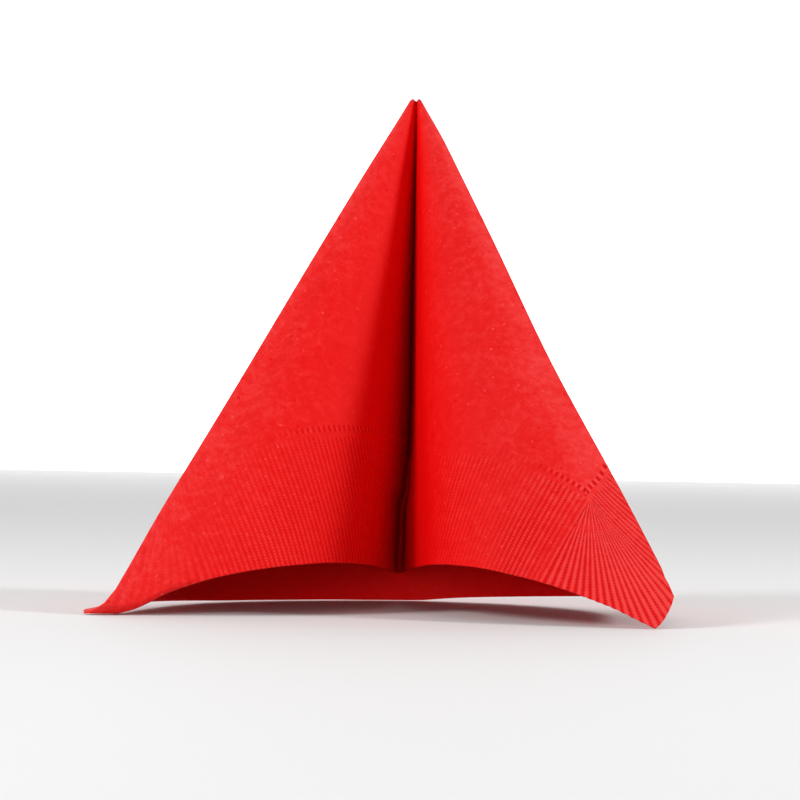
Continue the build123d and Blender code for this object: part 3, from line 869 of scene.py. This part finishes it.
    height = M("MULTIPLY_ADD", mottle, 0.10, height)
    height = M("MULTIPLY_ADD", cloud, 0.22, height)
    height = M("MULTIPLY_ADD", dots, -0.13, height)
    height = M("MULTIPLY_ADD", lines, -0.03, height)
    height = M("MULTIPLY_ADD", beads, 0.11, height)
    height = M("MULTIPLY_ADD", dash, -0.16, height)
    height = M("MULTIPLY_ADD", rise, 0.05, height)
    bump = N_(nt, "ShaderNodeBump")
    bump.inputs["Strength"].default_value = 1.0
    bump.inputs["Distance"].default_value = 0.001
    nt.links.new(height, bump.inputs["Height"])
    nt.links.new(bump.outputs[0], bs.inputs["Normal"])
    # colour: dyed pulp, a little uneven. The border's raised beads are lighter as a painted highlight where they
    # catch the light, and its grooves, pits and dashes a deeper red, partly from the pressing and partly painted
    # shade
    tone = M("MULTIPLY_ADD", M("SUBTRACT", mottle, 0.5), 0.8, 0.5)
    tone = M("MULTIPLY_ADD", M("SUBTRACT", fibre, 0.5), 0.5, tone)
    tone = M("MULTIPLY_ADD", M("SUBTRACT", cloud, 0.5), 0.35, tone)
    tone = M("MULTIPLY_ADD", M("MULTIPLY", M("SUBTRACT", fleck, 0.78), 14.0, clamp=True), -0.45, tone)
    tone = M("MULTIPLY_ADD", M("MULTIPLY", M("SUBTRACT", 0.23, fleck), 14.0, clamp=True), 0.6, tone)
    # paler in a band along the folds as a painted sheen where they turn to the light, and paler toward the point;
    # the valley's red is deepened by painted shade below
    turn = M("ARCTAN2", au, vv)
    # painted sheen: a band of lighter colour along the front folds
    painted_fold_sheen = M("MINIMUM", M("MULTIPLY_ADD", turn, 14.3, -10.6, clamp=True), M("MULTIPLY_ADD", turn, -4.0, 4.6, clamp=True))
    tone = M("MULTIPLY_ADD", painted_fold_sheen, 0.22, tone)
    tone = M("MULTIPLY_ADD", M("MULTIPLY_ADD", M("SQRT", M("ADD", M("MULTIPLY", u, u), M("MULTIPLY", v, v))),
                               -0.011, 1.0, clamp=True), 0.22, tone)
    # painted highlight on the raised beads and dash rims; grooves, pits and dashes darker, partly pressed tissue,
    # partly painted shade
    tone = M("MULTIPLY_ADD", beads, 0.66, tone)
    tone = M("MULTIPLY_ADD", lines, -0.20, tone)
    tone = M("MULTIPLY_ADD", dots, -0.50, tone)
    tone = M("MULTIPLY_ADD", dash, -0.9, tone)
    tone = M("MULTIPLY_ADD", rise, 0.34, tone)
    ramp = N_(nt, "ShaderNodeValToRGB")
    cr = ramp.color_ramp
    cr.elements[0].position, cr.elements[0].color = 0.0, (0.65, 0.0004, 0.0008, 1)
    cr.elements[1].position, cr.elements[1].color = 1.0, (0.82, 0.052, 0.050, 1)
    e = cr.elements.new(0.5)
    e.color = (0.735, 0.0125, 0.0123, 1)
    nt.links.new(tone, ramp.inputs[0])
    # painted shade: in the valley and up its walls the colour is pushed to a pure deep red, standing in for the
    # shade and red interreflection there
    painted_valley_shade = N_(nt, "ShaderNodeMix", data_type="RGBA", blend_type="MULTIPLY")
    shade = M("MULTIPLY", M("MULTIPLY_ADD", turn, -3.4, 2.5, clamp=True), front)
    nt.links.new(shade, painted_valley_shade.inputs["Factor"])
    nt.links.new(ramp.outputs[0], painted_valley_shade.inputs[6])
    painted_valley_shade.inputs[7].default_value = (1.0, 0.03, 0.03, 1)
    # painted light: the second half's colour is brightened in red and made purer, standing in for light bounced up
    # from below and shining through the tissue
    painted_back_bounce = N_(nt, "ShaderNodeMix", data_type="RGBA", blend_type="MULTIPLY")
    nt.links.new(back, painted_back_bounce.inputs["Factor"])
    nt.links.new(painted_valley_shade.outputs[2], painted_back_bounce.inputs[6])
    painted_back_bounce.inputs[7].default_value = (1.36, 0.35, 0.35, 1)
    nt.links.new(painted_back_bounce.outputs[2], bs.inputs["Base Color"])
    nt.links.new(M("MULTIPLY_ADD", mottle, 0.14, 0.54), bs.inputs["Roughness"])
    bs.inputs["Specular IOR Level"].default_value = 0.08
    return m


napkin.data.materials.append(tissue())

# ---------------------------------------------------------------- the studio


def plain(name, col, rough):
    m, nt = nodes_of(name)
    out = N_(nt, "ShaderNodeOutputMaterial")
    bs = N_(nt, "ShaderNodeBsdfPrincipled")
    nt.links.new(bs.outputs[0], out.inputs[0])
    bs.inputs["Base Color"].default_value = (*col, 1)
    bs.inputs["Roughness"].default_value = rough
    bs.inputs["Specular IOR Level"].default_value = 0.2
    return m


floor_me = bpy.data.meshes.new("floor")
n = 96
ring_r = [0.0, 0.3, 1.0, 2.5, 8.0]
fv, ff = [(0, 0, 0)], []
for r in ring_r[1:]:
    for i in range(n):
        a = 2 * math.pi * i / n
        fv.append((r * math.cos(a), r * math.sin(a), 0))
for i in range(n):
    ff.append((0, 1 + i, 1 + (i + 1) % n))
for k in range(len(ring_r) - 2):
    for i in range(n):
        a, b = 1 + k * n + i, 1 + k * n + (i + 1) % n
        ff.append((a, a + n, b + n, b))
floor_me.from_pydata(fv, [], ff)
floor = bpy.data.objects.new("floor", floor_me)
floor.location = (0, 0, -0.0001)
floor_me.materials.append(plain("floor_white", (0.80, 0.80, 0.80), 0.7))
bpy.context.scene.collection.objects.link(floor)

wall_me = bpy.data.meshes.new("backdrop")
wall_me.from_pydata([(-4, 0, -0.5), (4, 0, -0.5), (4, 0, 4.5), (-4, 0, 4.5)], [], [(0, 1, 2, 3)])
wall = bpy.data.objects.new("backdrop", wall_me)
wall.location = (0, 4.0, 0)
wm = plain("backdrop_white", (0.9, 0.9, 0.9), 0.8)
wb = [n for n in wm.node_tree.nodes if n.type == "BSDF_PRINCIPLED"][0]
wb.inputs["Emission Color"].default_value = (1, 1, 1, 1)
wb.inputs["Emission Strength"].default_value = 1.2
wall_me.materials.append(wm)
bpy.context.scene.collection.objects.link(wall)

world = bpy.data.worlds.new("studio")
bpy.context.scene.world = world
world.use_nodes = True
bg = world.node_tree.nodes["Background"]
bg.inputs[0].default_value = (1, 1, 1, 1)
bg.inputs[1].default_value = 0.38


def area(name, az, el, dist, size, power, aim=(0, 0, 0.07), col=(1, 1, 1)):
    """Azimuth 0 is the camera's side, 90 the right."""
    l = bpy.data.lights.new(name, "AREA")
    l.shape = "RECTANGLE"
    l.size, l.size_y = size
    l.energy = power
    l.color = col
    o = bpy.data.objects.new(name, l)
    a, e = math.radians(az), math.radians(el)
    p = Vector((math.sin(a) * math.cos(e), -math.cos(a) * math.cos(e), math.sin(e))) * dist + Vector(aim)
    o.location = p
    o.rotation_mode = "QUATERNION"
    o.rotation_quaternion = (Vector(aim) - p).to_track_quat("-Z", "Y")
    bpy.context.scene.collection.objects.link(o)
    return o


area("key_right", 81, 25, 1.3, (0.28, 0.28), 8.6)
area("key_left", -58, 30, 1.3, (0.40, 0.40), 8.7)
area("fill_front", -8, 5, 1.5, (0.9, 0.25), 5.0, aim=(0, 0, 0.03))

# ---------------------------------------------------------------- the camera
cam = bpy.data.cameras.new("camera")
cam.sensor_width = 36.0
cam.lens = 36.0 * 2985.07 / 800.0
cam.clip_start, cam.clip_end = 0.01, 50
co = bpy.data.objects.new("camera", cam)
right_v = Vector((0.999837, -0.000272, 0.018054))
fwd_v = Vector((0.0, 0.999886, 0.015091))
up_v = Vector((-0.018056, -0.015089, 0.999723))
m = Matrix((right_v, up_v, -fwd_v)).transposed().to_4x4()
loc = (np.array((-6.68, -991.39, 51.56)) + SHIFT) * 0.001
m.translation = Vector(loc)
co.matrix_world = m
bpy.context.scene.collection.objects.link(co)
bpy.context.scene.camera = co
bpy.context.scene.view_settings.view_transform = "Standard"
bpy.context.scene.view_settings.look = "None"

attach(napkin, "root")
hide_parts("napkin")
